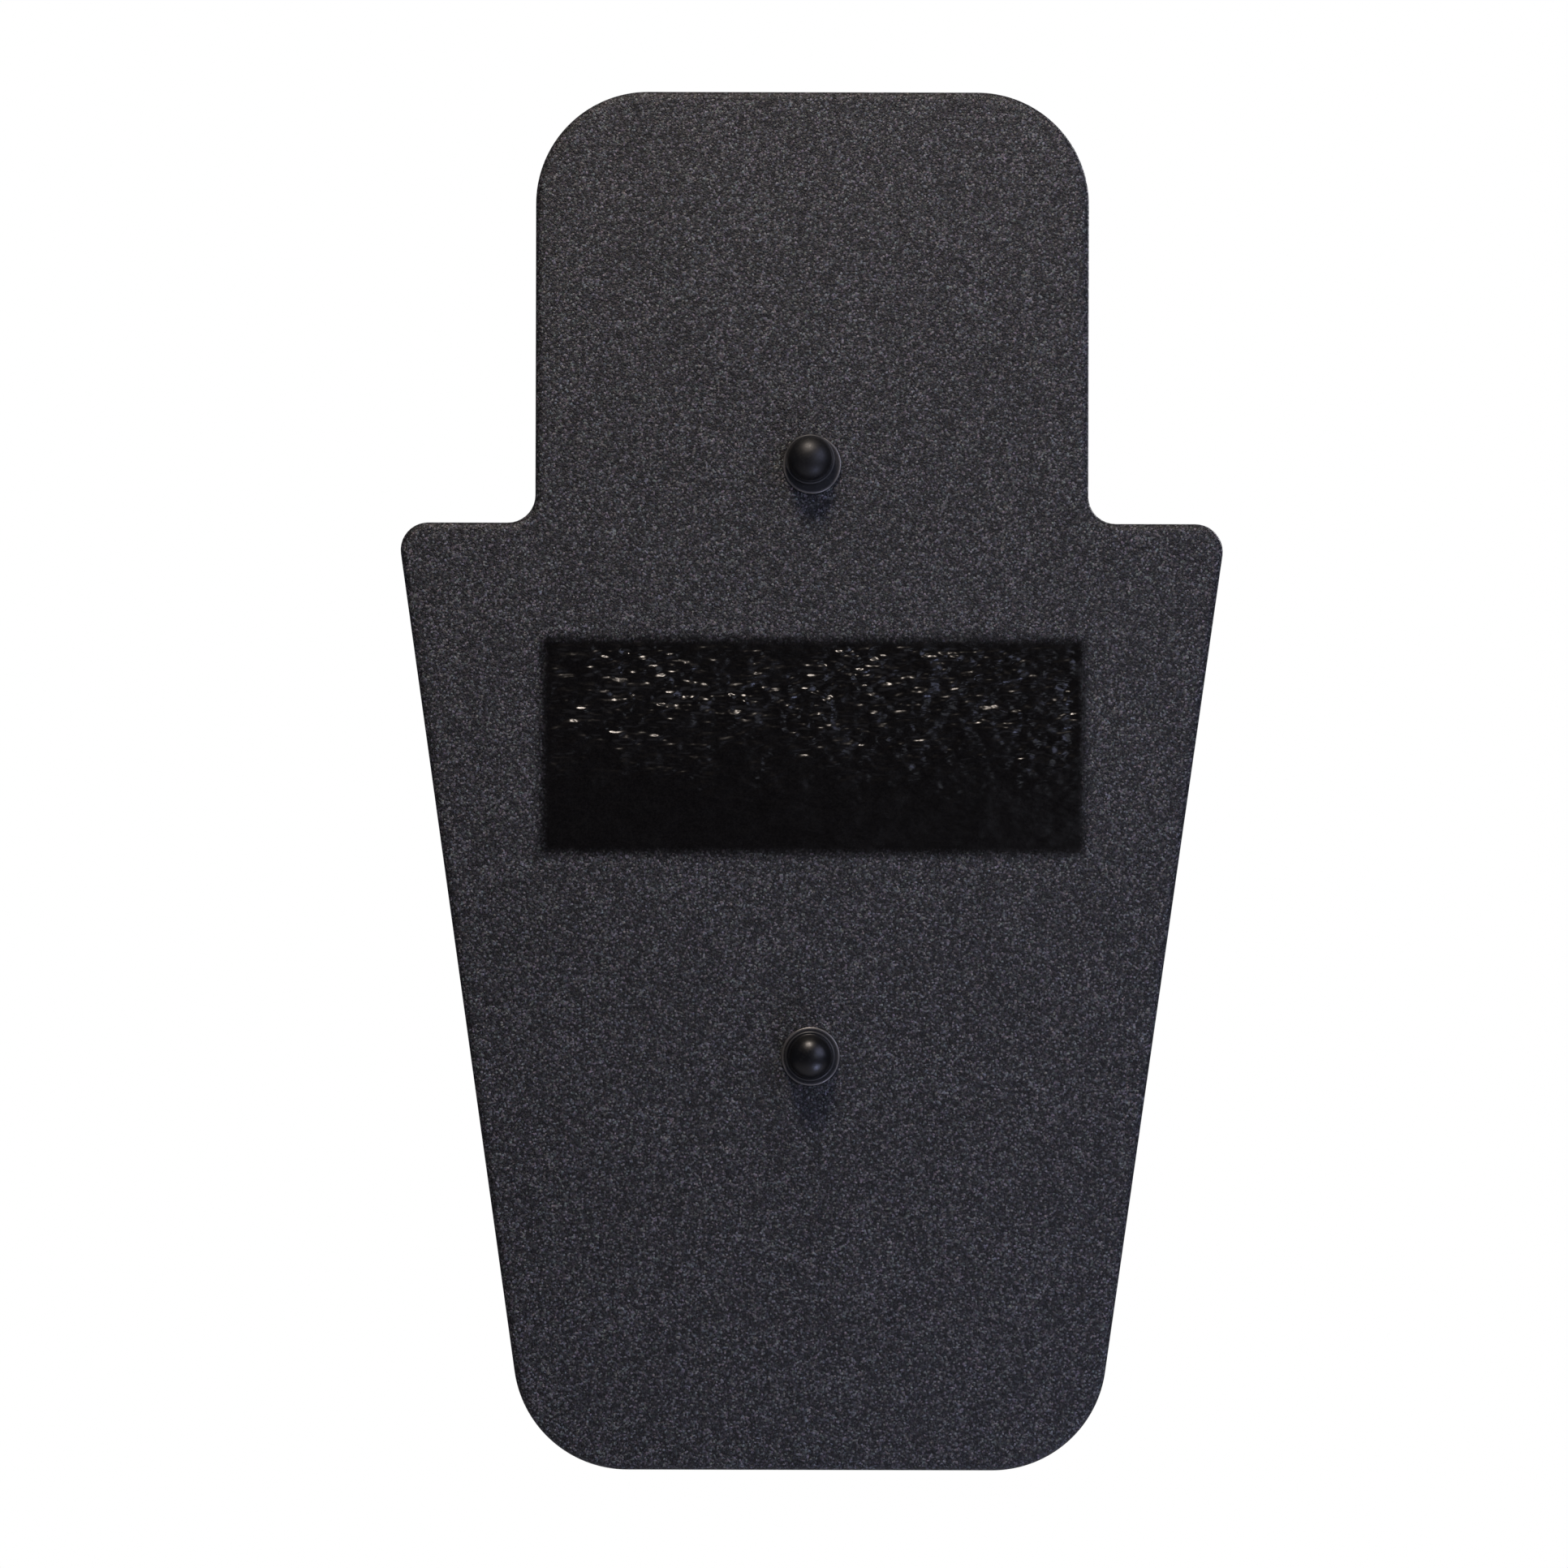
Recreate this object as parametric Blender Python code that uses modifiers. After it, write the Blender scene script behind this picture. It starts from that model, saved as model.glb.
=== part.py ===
"""Torso-shaped wall punch pad, held to a wall by two coach screws under domed caps.

Frame: metres, +Z up, +X to the right of someone facing the pad. The wall is the plane Y = 0 and
the pad faces -Y. The origin is on the wall plane, midway between the pad's two fixing holes.
Heights off the wall are given as h, so a point at height h has Y = -h.
"""

import math

import bmesh
import bpy
from mathutils import Matrix, Vector

MM = 0.001
GAP = 0.3 * MM  # between pieces that touch

# Outline of the pad, seen from the front
PAD_HEIGHT = 700 * MM
PAD_THICKNESS = 50 * MM
HEAD_WIDTH = 281 * MM
HEAD_HEIGHT = 219 * MM
SHOULDER_WIDTH = 422 * MM
BOTTOM_WIDTH = 286 * MM
HEAD_RADIUS = 57 * MM
NECK_RADIUS = 14 * MM
SHOULDER_RADIUS = 14 * MM
BOTTOM_RADIUS = 58 * MM
EDGE_ROUND = 4 * MM
EDGE_SEGMENTS = 3
ARC_TOLERANCE = 0.15 * MM  # how far a facet may cut inside a true arc

# Layers, from the front face to the wall
SKIN_FRONT = 3 * MM
SKIN_SIDE = 3 * MM
FACE_FOAM = 20 * MM
BOARD = 12 * MM
LIP_WIDTH = 18 * MM  # how far the skin folds over the back
LIP_THICKNESS = 2 * MM
LIP_SET_BACK = 1.5 * MM  # how far the lip stays off the wall
REAR_SHEET = LIP_SET_BACK + LIP_THICKNESS

# Blank panel across the chest
PANEL_WIDTH = 275 * MM
PANEL_HEIGHT = 109 * MM
PANEL_THICKNESS = 0.6 * MM
PANEL_RADIUS = 3 * MM
PANEL_CENTRE_Z = 8 * MM

# Fixings: holes through the pad on its centre line, and where the screws sit in them
HOLE_SPACING = 300 * MM
HOLES_ABOVE_BOTTOM = 360.5 * MM  # the middle of the two holes
SCREW_OFFSET = {"upper": (-0.9 * MM, 2.1 * MM), "lower": (-0.3 * MM, 0.4 * MM)}
CAP_OFFSET = {"upper": (-0.1 * MM, 0.25 * MM), "lower": (0.0, 0.0)}

GROMMET_FLANGE_RADIUS = 14.85 * MM
GROMMET_FLANGE = 1.5 * MM
GROMMET_ROUND = 1.0 * MM
BARREL_RADIUS = 10 * MM
BORE_RADIUS = 7.6 * MM
SWAGE_RADIUS = 11 * MM
RETAINER_RADIUS = 15 * MM
RETAINER_THICKNESS = 1.5 * MM

WASHER_RADIUS = 10 * MM
WASHER_BORE_RADIUS = 5.4 * MM
WASHER_THICKNESS = 2 * MM

SCREW_RADIUS = 5 * MM
SCREW_LENGTH = 120 * MM  # under the head
THREAD_LENGTH = 75 * MM
THREAD_CORE_RADIUS = 4.6 * MM
POINT_LENGTH = 9 * MM
HEX_ACROSS_FLATS = 16 * MM
HEAD_THICKNESS = 6.4 * MM
HEAD_CHAMFER_RADIUS = 7.6 * MM

CAP_FLANGE_RADIUS = 12.6 * MM
CAP_FLANGE = 1.6 * MM
CAP_RADIUS = 10.9 * MM
CAP_HEIGHT = 15 * MM
CAP_STRAIGHT = 6.6 * MM  # from the flange's underside to where the dome starts
CAP_WALL = 1.05 * MM
CAP_ROUND = 0.6 * MM

PLUG_RADIUS = 7 * MM
PLUG_BORE_RADIUS = 5.3 * MM
PLUG_START = 3 * MM  # behind the wall plane
PLUG_LENGTH = 60 * MM
PLUG_RINGS = 4
PLUG_RING_DEPTH = 0.6 * MM
PLUG_COLLAR = 20 * MM  # the unslotted end
PLUG_SLOT = 1.6 * MM

# Staples that hold the skin's lip to the board
STAPLES_PER_SIDE = 11
STAPLE_INSET = 9 * MM  # from the pad's edge
STAPLE_CROWN = 11 * MM
STAPLE_LEG = 9 * MM
STAPLE_WIRE = 0.5 * MM  # radius

TURN_STEPS = 32
STAPLE_HOLE_STEPS = 8
PULL_THROUGH = 5 * MM  # how far a cutter passes the faces it cuts

FRONT = PAD_THICKNESS
BOTTOM_Z = -HOLES_ABOVE_BOTTOM
SHOULDER_Z = BOTTOM_Z + PAD_HEIGHT - HEAD_HEIGHT
TOP_Z = BOTTOM_Z + PAD_HEIGHT
HOLE_Z = {"upper": HOLE_SPACING / 2, "lower": -HOLE_SPACING / 2}
CAVITY_FRONT = FRONT - SKIN_FRONT
SKIN_REAR = LIP_SET_BACK
BOARD_REAR = REAR_SHEET + GAP
SWAGE_HEIGHT = BOARD_REAR
STAPLE_HEIGHT = SKIN_REAR - GAP - STAPLE_WIRE  # of the crown's middle
BOARD_FRONT = BOARD_REAR + BOARD
CORE_REAR = BOARD_FRONT + GAP
FACE_FOAM_FRONT = CAVITY_FRONT - GAP
FACE_FOAM_REAR = FACE_FOAM_FRONT - FACE_FOAM
CORE_FRONT = FACE_FOAM_REAR - GAP
GROMMET_FACE = FRONT + GAP + GROMMET_FLANGE
WASHER_FRONT = GROMMET_FACE + GAP + WASHER_THICKNESS
HEAD_REAR = WASHER_FRONT + GAP
FACE_TO_FRONT = Matrix.Rotation(math.radians(90), 4, "X")  # local Z comes to point at -Y

FINISHES = {  # colour, roughness, metallic
    "skin": ((0.035, 0.034, 0.039), 0.62, 0.0),
    "panel": ((0.006, 0.006, 0.007), 0.25, 0.0),
    "rear_rubber": ((0.03, 0.03, 0.03), 0.8, 0.0),
    "soft_foam": ((0.78, 0.72, 0.52), 0.95, 0.0),
    "firm_foam": ((0.16, 0.17, 0.19), 0.9, 0.0),
    "plywood": ((0.55, 0.37, 0.2), 0.6, 0.0),
    "black_steel": ((0.012, 0.012, 0.013), 0.22, 0.9),
    "zinc_steel": ((0.6, 0.6, 0.62), 0.3, 1.0),
    "staple_wire": ((0.55, 0.54, 0.5), 0.35, 1.0),
    "cap_plastic": ((0.01, 0.01, 0.01), 0.32, 0.0),
    "plug_nylon": ((0.42, 0.43, 0.45), 0.5, 0.0),
}


# ---- scene and objects ----

def clear_scene():
    for obj in list(bpy.data.objects):
        bpy.data.objects.remove(obj, do_unlink=True)


def new_collection(name):
    collection = bpy.data.collections.new(name)
    bpy.context.scene.collection.children.link(collection)
    return collection


def material(name):
    found = bpy.data.materials.get(name)
    if found:
        return found
    colour, roughness, metallic = FINISHES[name]
    made = bpy.data.materials.new(name)
    made.use_nodes = True
    shader = made.node_tree.nodes["Principled BSDF"]
    shader.inputs["Base Color"].default_value = (*colour, 1.0)
    shader.inputs["Roughness"].default_value = roughness
    shader.inputs["Metallic"].default_value = metallic
    return made


def as_helper(obj):
    """Keep a cutter out of the model and of any render."""
    obj.hide_render = True
    obj.display_type = "WIRE"
    for collection in list(obj.users_collection):
        collection.objects.unlink(obj)
    bpy.data.collections["cutters"].objects.link(obj)
    return obj


def as_piece(obj, finish):
    obj.data.materials.append(material(finish))
    obj.data.shade_smooth()
    obj.data.set_sharp_from_angle(angle=math.radians(35))
    return obj


def place(name, mesh, matrix):
    obj = bpy.data.objects.new(name, mesh)
    obj.matrix_world = matrix
    bpy.data.collections["wall_punch_pad"].objects.link(obj)
    return obj


def on_axis(x, z, h=0.0):
    """A frame at height h off the wall, with its local Z pointing away from the wall."""
    return Matrix.Translation((x, -h, z)) @ FACE_TO_FRONT


def boolean(obj, operation, other):
    step = obj.modifiers.new(f"{operation.lower()} {other.name}", "BOOLEAN")
    step.operation = operation
    step.object = other
    step.solver = "EXACT"


# ---- outlines ----

def inward_normals(corners):
    """The inward unit normal of the edge that leaves each corner, for an anticlockwise outline."""
    normals = []
    for (point, _), (after, _) in zip(corners, corners[1:] + corners[:1]):
        along = (after - point).normalized()
        normals.append(Vector((-along.y, along.x)))
    return normals


def inset(corners, distance):
    """The outline moved inwards: outer corners tighten and inner ones open."""
    normals = inward_normals(corners)
    moved = []
    for i, (point, radius) in enumerate(corners):
        before, after = normals[i - 1], normals[i]
        shift = (before + after) / (1 + before.dot(after))
        convex = before.cross(after) > 0
        tighter = radius - distance if convex else radius + distance
        moved.append((point + shift * distance, max(tighter, 1 * MM)))
    return moved


def rounded(corners):
    """The outline's points, with each corner turned into an arc of its radius."""
    normals = inward_normals(corners)
    points = []
    for i, (point, radius) in enumerate(corners):
        before, after = normals[i - 1], normals[i]
        side = 1 if before.cross(after) > 0 else -1
        centre = point + side * radius * (before + after) / (1 + before.dot(after))
        turn = before.angle_signed(after)
        facet = 2 * math.acos(1 - ARC_TOLERANCE / radius)
        count = max(3, math.ceil(abs(turn) / facet))
        for k in range(count + 1):
            spoke = before.copy()
            spoke.rotate(Matrix.Rotation(-turn * k / count, 2))
            points.append(centre - side * radius * spoke)
    return points


def pad_corners():
    """The pad's corners and their radii, anticlockwise from the bottom right."""
    right = [
        (BOTTOM_WIDTH / 2, BOTTOM_Z, BOTTOM_RADIUS),
        (SHOULDER_WIDTH / 2, SHOULDER_Z, SHOULDER_RADIUS),
        (HEAD_WIDTH / 2, SHOULDER_Z, NECK_RADIUS),
        (HEAD_WIDTH / 2, TOP_Z, HEAD_RADIUS),
    ]
    left = [(-x, z, radius) for x, z, radius in reversed(right)]
    return [(Vector((x, z)), radius) for x, z, radius in right + left]


def panel_corners(margin=0.0):
    half_width = PANEL_WIDTH / 2 + margin
    half_height = PANEL_HEIGHT / 2 + margin
    signs = ((1, -1), (1, 1), (-1, 1), (-1, -1))
    return [
        (Vector((a * half_width, PANEL_CENTRE_Z + b * half_height)), PANEL_RADIUS + margin)
        for a, b in signs
    ]


def plate(name, corners, front, rear):
    """A flat piece of the outline's shape, from height rear to height front."""
    curve = bpy.data.curves.new(name, "CURVE")
    curve.dimensions = "2D"
    curve.fill_mode = "BOTH"
    curve.extrude = (front - rear) / 2
    points = rounded(corners)
    spline = curve.splines.new("POLY")
    spline.points.add(len(points) - 1)
    for target, point in zip(spline.points, points):
        target.co = (point.x, point.y, 0, 1)
    spline.use_cyclic_u = True
    flat = place(name + "_outline", curve, on_axis(0, 0, (front + rear) / 2))
    bpy.context.view_layer.update()
    graph = bpy.context.evaluated_depsgraph_get()
    mesh = bpy.data.meshes.new_from_object(flat.evaluated_get(graph))
    matrix = flat.matrix_world.copy()
    bpy.data.objects.remove(flat, do_unlink=True)
    join_caps(mesh)
    mesh.name = name
    return place(name, mesh, matrix)


def join_caps(mesh):
    """Weld a curve's loose caps on, and make each cap one face."""
    shape = bmesh.new()
    shape.from_mesh(mesh)
    bmesh.ops.remove_doubles(shape, verts=shape.verts, dist=1e-6)
    bmesh.ops.dissolve_limit(
        shape, angle_limit=math.radians(0.5), verts=shape.verts, edges=shape.edges
    )
    bmesh.ops.recalc_face_normals(shape, faces=shape.faces)
    shape.to_mesh(mesh)
    shape.free()


def rods(name, centres, radius, front, rear, steps):
    """One helper mesh of cylinders along the fixing axis, from height rear to height front."""
    mesh = bpy.data.meshes.new(name)
    shape = bmesh.new()
    for x, z in centres:
        bmesh.ops.create_cone(
            shape, cap_ends=True, segments=steps, radius1=radius, radius2=radius,
            depth=front - rear, matrix=on_axis(x, z, (front + rear) / 2),
        )
    shape.to_mesh(mesh)
    shape.free()
    return as_helper(place(name, mesh, Matrix.Identity(4)))


# ---- turned shapes ----

def arc(centre_r, centre_h, radius_r, radius_h, start, end, steps):
    """Points of a quarter round in a turned profile; angles are in degrees from the +r direction."""
    turns = [math.radians(start + (end - start) * k / steps) for k in range(steps + 1)]
    return [(centre_r + radius_r * math.cos(a), centre_h + radius_h * math.sin(a)) for a in turns]


def turned(name, profile, x, z, closed):
    """A profile of (radius, height) points, turned round the fixing axis at x, z."""
    mesh = bpy.data.meshes.new(name)
    shape = bmesh.new()
    verts = [shape.verts.new((r, 0, h)) for r, h in profile]
    for a, b in zip(verts, verts[1:]):
        shape.edges.new((a, b))
    if closed:
        shape.edges.new((verts[-1], verts[0]))
    shape.to_mesh(mesh)
    shape.free()
    obj = place(name, mesh, on_axis(x, z))
    screw = obj.modifiers.new("turn", "SCREW")
    screw.axis = "Z"
    screw.steps = TURN_STEPS
    screw.render_steps = TURN_STEPS
    screw.use_merge_vertices = True
    screw.merge_threshold = 0.00001
    screw.use_smooth_shade = True
    return obj


# ---- the pad ----

def cut_fixing_holes(piece, radius, front, rear):
    centres = [(0, z) for z in HOLE_Z.values()]
    boolean(piece, "DIFFERENCE", rods(f"{piece.name}_holes", centres, radius, front, rear, TURN_STEPS))


def cut_staple_holes(piece, front, rear):
    centres = [(leg.x, leg.y) for legs in staple_legs() for leg in legs]
    radius = STAPLE_WIRE + GAP
    cutter = rods(f"{piece.name}_staple_holes", centres, radius, front, rear, STAPLE_HOLE_STEPS)
    boolean(piece, "DIFFERENCE", cutter)


def make_skin():
    skin = plate("textured_skin", pad_corners(), FRONT, SKIN_REAR)
    edge = skin.modifiers.new("rolled edges", "BEVEL")
    edge.width = EDGE_ROUND
    edge.segments = EDGE_SEGMENTS
    edge.limit_method = "ANGLE"
    edge.angle_limit = math.radians(60)
    cavity = plate("skin_cavity", inset(pad_corners(), SKIN_SIDE), CAVITY_FRONT, REAR_SHEET)
    mouth = plate("skin_mouth", inset(pad_corners(), LIP_WIDTH), BOARD_REAR, -PULL_THROUGH)
    recess = plate(
        "panel_recess", panel_corners(GAP), FRONT + PULL_THROUGH, FRONT - PANEL_THICKNESS - GAP
    )
    for cutter in (cavity, mouth, recess):
        boolean(skin, "DIFFERENCE", as_helper(cutter))
    cut_fixing_holes(skin, BARREL_RADIUS + GAP, FRONT + PULL_THROUGH, FACE_FOAM_FRONT)
    cut_staple_holes(skin, BOARD_REAR, -PULL_THROUGH)
    return as_piece(skin, "skin")


def make_layer(name, finish, front, rear):
    """One filling layer: it fills the skin's cavity between two heights."""
    layer = plate(name, inset(pad_corners(), SKIN_SIDE + GAP), front, rear)
    cut_fixing_holes(layer, BARREL_RADIUS + GAP, front + PULL_THROUGH, rear - PULL_THROUGH)
    return as_piece(layer, finish)


def make_board():
    board = make_layer("backing_board", "plywood", BOARD_FRONT, BOARD_REAR)
    seat_front = BOARD_REAR + RETAINER_THICKNESS + 2 * GAP
    cut_fixing_holes(board, RETAINER_RADIUS + GAP, seat_front, -PULL_THROUGH)
    cut_staple_holes(board, STAPLE_HEIGHT + STAPLE_LEG + GAP, -PULL_THROUGH)


def make_rear_cover():
    cover = plate("rear_cover", inset(pad_corners(), LIP_WIDTH + GAP), REAR_SHEET, 0)
    cut_fixing_holes(cover, SWAGE_RADIUS + GAP, REAR_SHEET + PULL_THROUGH, -PULL_THROUGH)
    return as_piece(cover, "rear_rubber")


def make_panel():
    panel = plate("chest_panel", panel_corners(), FRONT, FRONT - PANEL_THICKNESS)
    return as_piece(panel, "panel")


# ---- the staples ----

def staple_legs():
    """Where each staple's two legs go: evenly along the right edge, then the same on the left."""
    path = rounded(inset(pad_corners(), STAPLE_INSET))
    top = path.index(max(path, key=lambda point: (point.y, point.x)))
    right = [Vector((0, path[0].y))] + path[:top + 1] + [Vector((0, path[top].y))]
    lengths = [(b - a).length for a, b in zip(right, right[1:])]
    pitch = sum(lengths) / STAPLES_PER_SIDE
    legs = []
    for k in range(STAPLES_PER_SIDE):
        left = pitch * (k + 0.5)
        i = 0
        while left > lengths[i]:
            left -= lengths[i]
            i += 1
        along = (right[i + 1] - right[i]).normalized()
        middle = right[i] + along * left
        legs.append([middle - along * STAPLE_CROWN / 2, middle + along * STAPLE_CROWN / 2])
    mirrored = [[Vector((-leg.x, leg.y)) for leg in pair] for pair in legs]
    return legs + mirrored


def make_staple(number, legs):
    """A bent wire: a crown behind the lip and two legs in the board."""
    a, b = legs
    tip, crown = STAPLE_HEIGHT + STAPLE_LEG, STAPLE_HEIGHT
    route = [(a, tip), (a, crown), (b, crown), (b, tip)]
    curve = bpy.data.curves.new(f"staple_{number:02d}", "CURVE")
    curve.dimensions = "3D"
    curve.bevel_depth = STAPLE_WIRE
    curve.bevel_resolution = 1
    curve.use_fill_caps = True
    spline = curve.splines.new("POLY")
    spline.points.add(len(route) - 1)
    for target, (point, h) in zip(spline.points, route):
        target.co = (point.x, -h, point.y, 1)
    staple = bpy.data.objects.new(curve.name, curve)
    bpy.data.collections["wall_punch_pad"].objects.link(staple)
    curve.materials.append(material("staple_wire"))
    return staple


# ---- the fixings ----

def make_grommet(end):
    """A flanged barrel. Its tail is swaged outwards behind the retaining ring."""
    r_out, r_in = GROMMET_FLANGE_RADIUS - GROMMET_ROUND, BORE_RADIUS + GROMMET_ROUND
    h = GROMMET_FACE - GROMMET_ROUND
    profile = arc(r_out, h, GROMMET_ROUND, GROMMET_ROUND, 90, 0, 3)
    profile += [
        (GROMMET_FLANGE_RADIUS, FRONT + GAP),
        (BARREL_RADIUS, FRONT + GAP),
        (BARREL_RADIUS, SWAGE_HEIGHT),
        (SWAGE_RADIUS, SWAGE_HEIGHT - GAP),
        (SWAGE_RADIUS, GAP),
        (SWAGE_RADIUS - GAP, 0),
        (BORE_RADIUS, 0),
    ]
    profile += arc(r_in, h, GROMMET_ROUND, GROMMET_ROUND, 180, 90, 3)
    return as_piece(turned(f"{end}_grommet", profile, 0, HOLE_Z[end], closed=True), "black_steel")


def ring(name, x, z, outer, inner, front, rear, finish):
    """A flat washer with its outer edges broken."""
    broken = 0.25 * MM
    profile = [
        (outer - broken, front),
        (outer, front - broken),
        (outer, rear + broken),
        (outer - broken, rear),
        (inner, rear),
        (inner, front),
    ]
    return as_piece(turned(name, profile, x, z, closed=True), finish)


def make_retainer(end):
    rear = BOARD_REAR + GAP
    return ring(
        f"{end}_grommet_washer", 0, HOLE_Z[end], RETAINER_RADIUS, BARREL_RADIUS + GAP,
        rear + RETAINER_THICKNESS, rear, "zinc_steel",
    )


def make_screw_washer(end, x, z):
    return ring(
        f"{end}_screw_washer", x, z, WASHER_RADIUS, WASHER_BORE_RADIUS,
        WASHER_FRONT, WASHER_FRONT - WASHER_THICKNESS, "black_steel",
    )


def make_hex_head(end, x, z):
    """A hexagonal prism, with its corners turned off to a cone at the front."""
    corner_radius = HEX_ACROSS_FLATS / math.sqrt(3)
    mesh = bpy.data.meshes.new(f"{end}_hex")
    shape = bmesh.new()
    bmesh.ops.create_cone(
        shape, cap_ends=True, segments=6,
        radius1=corner_radius, radius2=corner_radius, depth=HEAD_THICKNESS,
    )
    shape.to_mesh(mesh)
    shape.free()
    head = place(f"{end}_hex", mesh, on_axis(x, z, HEAD_REAR + HEAD_THICKNESS / 2))
    front = HEAD_REAR + HEAD_THICKNESS
    slope = math.tan(math.radians(30))
    wide = corner_radius + MM
    chamfer = [
        (0, front),
        (HEAD_CHAMFER_RADIUS, front),
        (wide, front - (wide - HEAD_CHAMFER_RADIUS) * slope),
        (wide, HEAD_REAR - MM),
        (0, HEAD_REAR - MM),
    ]
    boolean(head, "INTERSECT", as_helper(turned(f"{end}_chamfer", chamfer, x, z, closed=False)))
    return as_helper(head)


def make_screw(end, x, z):
    """A coach screw: hexagonal head, plain shank, thread cylinder and gimlet point."""
    tip = HEAD_REAR - SCREW_LENGTH
    thread_start = tip + THREAD_LENGTH
    profile = [
        (0, HEAD_REAR + HEAD_THICKNESS / 2),
        (SCREW_RADIUS, HEAD_REAR + HEAD_THICKNESS / 2),
        (SCREW_RADIUS, thread_start),
        (THREAD_CORE_RADIUS, thread_start - (SCREW_RADIUS - THREAD_CORE_RADIUS)),
        (THREAD_CORE_RADIUS, tip + POINT_LENGTH),
        (0, tip),
    ]
    screw = turned(f"{end}_coach_screw", profile, x, z, closed=False)
    boolean(screw, "UNION", make_hex_head(end, x, z))
    return as_piece(screw, "zinc_steel")


def make_cap(end, x, z):
    """A domed cap, open at the back, that presses over the hexagonal head."""
    base = HEAD_REAR
    dome_start = base + CAP_STRAIGHT
    dome_height = CAP_HEIGHT - CAP_STRAIGHT
    flange_front = base + CAP_FLANGE
    inner = CAP_RADIUS - CAP_WALL
    quarter = 6
    profile = arc(0, dome_start, CAP_RADIUS, dome_height, 90, 0, quarter)
    profile += arc(
        CAP_RADIUS + CAP_ROUND, flange_front + CAP_ROUND, CAP_ROUND, CAP_ROUND, 180, 270, 2
    )
    profile += arc(
        CAP_FLANGE_RADIUS - CAP_ROUND, flange_front - CAP_ROUND, CAP_ROUND, CAP_ROUND, 90, 0, 2
    )
    profile += [(CAP_FLANGE_RADIUS, base), (inner, base)]
    profile += arc(0, dome_start, inner, dome_height - CAP_WALL, 0, 90, quarter)
    return as_piece(turned(f"{end}_cap", profile, x, z, closed=False), "cap_plastic")


def plug_profile():
    """A tube whose outside is a row of saw-tooth rings."""
    near = -PLUG_START
    pitch = PLUG_LENGTH / (PLUG_RINGS + 1)
    profile = [(PLUG_RADIUS, near), (PLUG_RADIUS, near - pitch)]
    for k in range(1, PLUG_RINGS + 1):
        start = near - pitch * k
        profile.append((PLUG_RADIUS - PLUG_RING_DEPTH, start - 0.1 * pitch))
        profile.append((PLUG_RADIUS, start - 0.85 * pitch))
        if k < PLUG_RINGS:
            profile.append((PLUG_RADIUS, start - pitch))
    far = near - PLUG_LENGTH
    profile += [(PLUG_RADIUS - 2 * PLUG_RING_DEPTH, far), (PLUG_BORE_RADIUS, far)]
    profile.append((PLUG_BORE_RADIUS, near))
    return profile


def make_slot(name, x, z, turn):
    """A slab across the plug, from its collar to past its far end."""
    length = PLUG_LENGTH - PLUG_COLLAR + PULL_THROUGH
    middle = -PLUG_START - PLUG_COLLAR - length / 2
    mesh = bpy.data.meshes.new(name)
    shape = bmesh.new()
    bmesh.ops.create_cube(shape, size=1.0)
    size = Matrix.Diagonal((PLUG_SLOT, 4 * PLUG_RADIUS, length, 1))
    bmesh.ops.transform(shape, matrix=size, verts=shape.verts)
    shape.to_mesh(mesh)
    shape.free()
    matrix = on_axis(x, z, middle) @ Matrix.Rotation(turn, 4, "Z")
    return as_helper(place(name, mesh, matrix))


def make_plug(end, x, z):
    plug = turned(f"{end}_wall_plug", plug_profile(), x, z, closed=True)
    for k in range(2):
        turn = math.radians(45 + 90 * k)
        boolean(plug, "DIFFERENCE", make_slot(f"{end}_slot_{k}", x, z, turn))
    return as_piece(plug, "plug_nylon")


def make_fixing(end):
    """Everything at one hole: the grommet in the pad, and the screw hanging in it."""
    make_grommet(end)
    make_retainer(end)
    x, z = SCREW_OFFSET[end][0], HOLE_Z[end] + SCREW_OFFSET[end][1]
    make_screw_washer(end, x, z)
    make_screw(end, x, z)
    make_plug(end, x, z)
    make_cap(end, x + CAP_OFFSET[end][0], z + CAP_OFFSET[end][1])


def main():
    clear_scene()
    new_collection("wall_punch_pad")
    new_collection("cutters")
    make_skin()
    make_panel()
    make_layer("face_foam", "soft_foam", FACE_FOAM_FRONT, FACE_FOAM_REAR)
    make_layer("core_foam", "firm_foam", CORE_FRONT, CORE_REAR)
    make_board()
    make_rear_cover()
    for end in HOLE_Z:
        make_fixing(end)
    for number, legs in enumerate(staple_legs(), start=1):
        make_staple(number, legs)


main()
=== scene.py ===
"""Looks of the wall punch pad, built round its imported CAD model.

Frame: metres, +Z up. The wall is the plane Y = 0 and the pad faces -Y, so a point at height h off
the wall has Y = -h. An outline is worked out in the pad's plane, as (x, z).
"""

import math

import bmesh
import bpy
import numpy as np
from mathutils import Matrix, Vector, kdtree, noise
from mathutils.geometry import delaunay_2d_cdt


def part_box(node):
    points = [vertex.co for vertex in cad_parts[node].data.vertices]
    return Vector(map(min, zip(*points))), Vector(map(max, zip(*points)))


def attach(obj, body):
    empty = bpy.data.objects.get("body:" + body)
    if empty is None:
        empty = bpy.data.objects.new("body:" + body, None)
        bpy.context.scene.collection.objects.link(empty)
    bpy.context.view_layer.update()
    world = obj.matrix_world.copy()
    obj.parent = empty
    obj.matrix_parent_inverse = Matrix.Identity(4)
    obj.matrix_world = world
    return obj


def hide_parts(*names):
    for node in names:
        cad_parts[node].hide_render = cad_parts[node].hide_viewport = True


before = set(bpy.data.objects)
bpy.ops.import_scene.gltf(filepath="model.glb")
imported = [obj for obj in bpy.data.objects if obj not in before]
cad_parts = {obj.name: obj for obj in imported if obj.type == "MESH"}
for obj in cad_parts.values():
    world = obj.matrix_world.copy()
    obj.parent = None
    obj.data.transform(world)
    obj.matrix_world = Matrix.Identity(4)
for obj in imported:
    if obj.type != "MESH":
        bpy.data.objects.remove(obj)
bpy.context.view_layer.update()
noise.seed_set(1)  # or the chest sheet's folds would differ from run to run

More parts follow.
